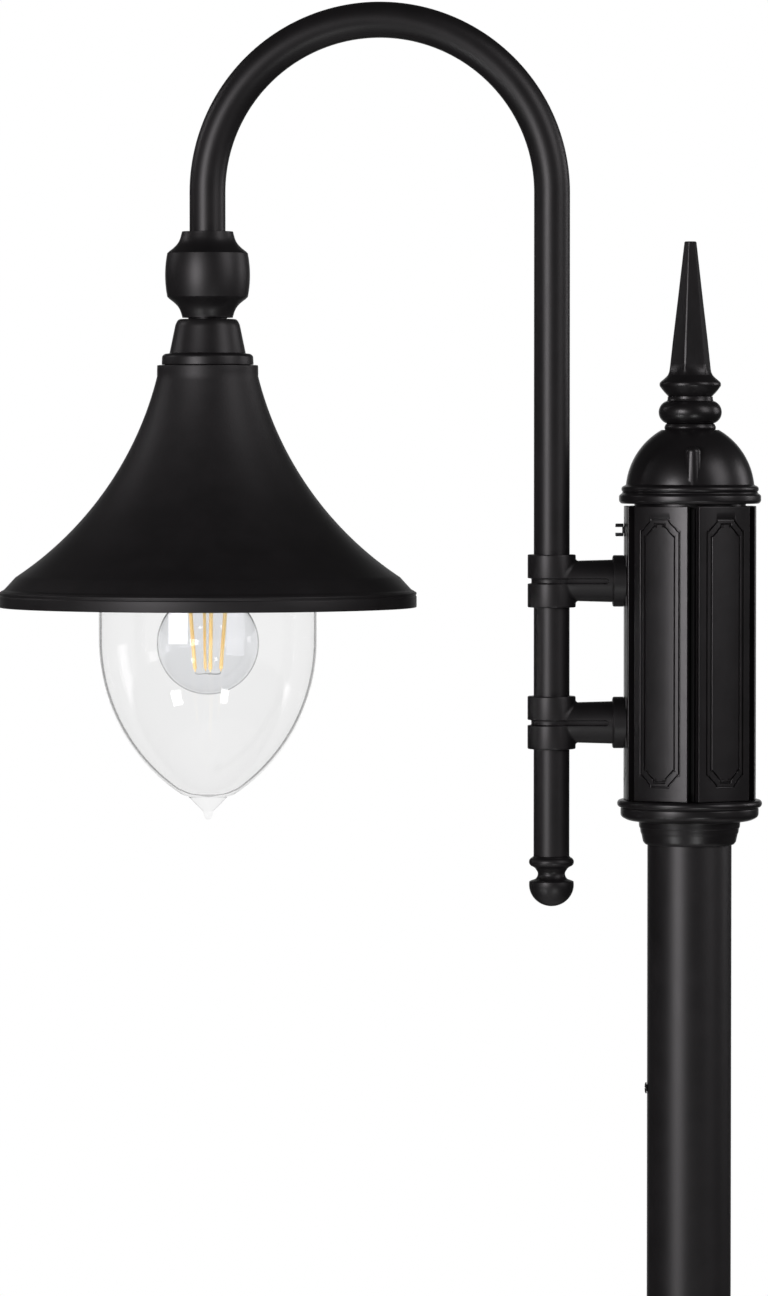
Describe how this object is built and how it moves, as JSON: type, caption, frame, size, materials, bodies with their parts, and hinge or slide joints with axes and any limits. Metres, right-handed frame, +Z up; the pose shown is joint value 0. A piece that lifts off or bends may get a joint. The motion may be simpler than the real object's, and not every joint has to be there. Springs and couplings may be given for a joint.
{
  "type": "street lamp",
  "caption": "Swan-neck post lamp: a trumpet shade with a pointed clear glass and filament bulb hangs from a curved tube, T-clamped to a panelled head with a dome and spike.",
  "frame": {"origin": "on the ground, at the centre of the base plate's underside, on the post's axis", "axes": "+Z up along the post, -X from the post towards the lantern, +Y to the back where the arm's clamp screws are"},
  "size_m": [0.5299, 0.2478, 2.2],
  "materials": {
    "satin_black": "satin black powder coat, fine even texture",
    "zinc_steel": "zinc-plated steel",
    "brass": "plain brass, slightly dull",
    "clear_glass": "clear, smooth and glossy",
    "bulb_glass": "clear, slightly grey, glossy",
    "dark_rubber": "matt dark rubber",
    "white_plastic": "matt white",
    "white_porcelain": "white glaze",
    "amber_phosphor": "amber phosphor coating over LED strips"
  },
  "bodies": {
    "post": {"base_flange": "satin_black", "anchor_bolt_1": "zinc_steel", "anchor_bolt_2": "zinc_steel", "anchor_bolt_3": "zinc_steel", "anchor_bolt_4": "zinc_steel", "foot_screw_1": "zinc_steel", "foot_screw_2": "zinc_steel", "cable_grommet": "dark_rubber", "post_tube": "satin_black", "post_lock_screw": "zinc_steel"},
    "base_cover": {"base_cover": "satin_black"},
    "head": {"hub_socket": "satin_black", "hub_spigot": "zinc_steel", "hub_core": "satin_black", "hub_panel_1": "satin_black", "hub_panel_2": "satin_black", "hub_panel_3": "satin_black", "hub_panel_4": "satin_black", "hub_panel_5": "satin_black", "hub_panel_6": "satin_black", "rod_bridge": "zinc_steel", "tie_rod": "zinc_steel", "tie_rod_nut": "zinc_steel", "terminal_block": "white_plastic", "terminal_screw": "zinc_steel", "panel_screw": "zinc_steel", "bracket_upper": "satin_black", "bracket_lower": "satin_black", "bracket_nipple_upper": "brass", "bracket_nipple_lower": "brass", "bracket_nut_upper": "brass", "bracket_nut_lower": "brass", "arm_clamp_screw_upper": "zinc_steel", "arm_clamp_screw_lower": "zinc_steel", "hub_cable": "dark_rubber"},
    "dome": {"dome_cap": "satin_black", "finial_bead": "satin_black"},
    "finial": {"finial_spike": "satin_black"},
    "arm": {"arm_tube": "satin_black", "arm_end_knob": "satin_black", "neck_coupling": "satin_black", "coupling_screw": "zinc_steel", "lamp_nipple": "brass", "shade_collar": "satin_black", "shade": "satin_black", "shade_nut": "brass", "nipple_spacer": "zinc_steel", "glass_gallery": "satin_black", "gallery_gasket": "dark_rubber", "lampholder": "white_porcelain", "arm_cable": "dark_rubber"},
    "glass": {"glass_globe": "clear_glass"},
    "bulb": {"bulb_cap": "brass", "bulb_glass": "bulb_glass", "bulb_stem": "bulb_glass", "filament_1": "amber_phosphor", "filament_2": "amber_phosphor", "filament_3": "amber_phosphor", "filament_4": "amber_phosphor"}
  },
  "joints": [
    {"name": "cover_lift", "type": "slide", "parent": "post", "child": "base_cover", "axis": [0, 0, 1], "range_m": [0, 0.15]},
    {"name": "head_swivel", "type": "hinge", "parent": "post", "child": "head", "pos_m": [0, 0, 1.71], "axis": [0, 0, 1], "range_deg": [-175, 175]},
    {"name": "dome_lift", "type": "slide", "parent": "head", "child": "dome", "axis": [0, 0, 1], "range_m": [0, 0.08]},
    {"name": "finial_turn", "type": "hinge", "parent": "dome", "child": "finial", "pos_m": [0, 0, 1.97], "axis": [0, 0, 1], "continuous": true},
    {"name": "arm_swivel", "type": "hinge", "parent": "head", "child": "arm", "pos_m": [-0.082, 0, 1.81], "axis": [0, 0, 1], "range_deg": [-115, 115]},
    {"name": "glass_drop", "type": "slide", "parent": "arm", "child": "glass", "axis": [0, 0, 1], "range_m": [-0.16, 0]},
    {"name": "bulb_out", "type": "slide", "parent": "arm", "child": "bulb", "axis": [0, 0, 1], "range_m": [-0.03, 0]}
  ]
}
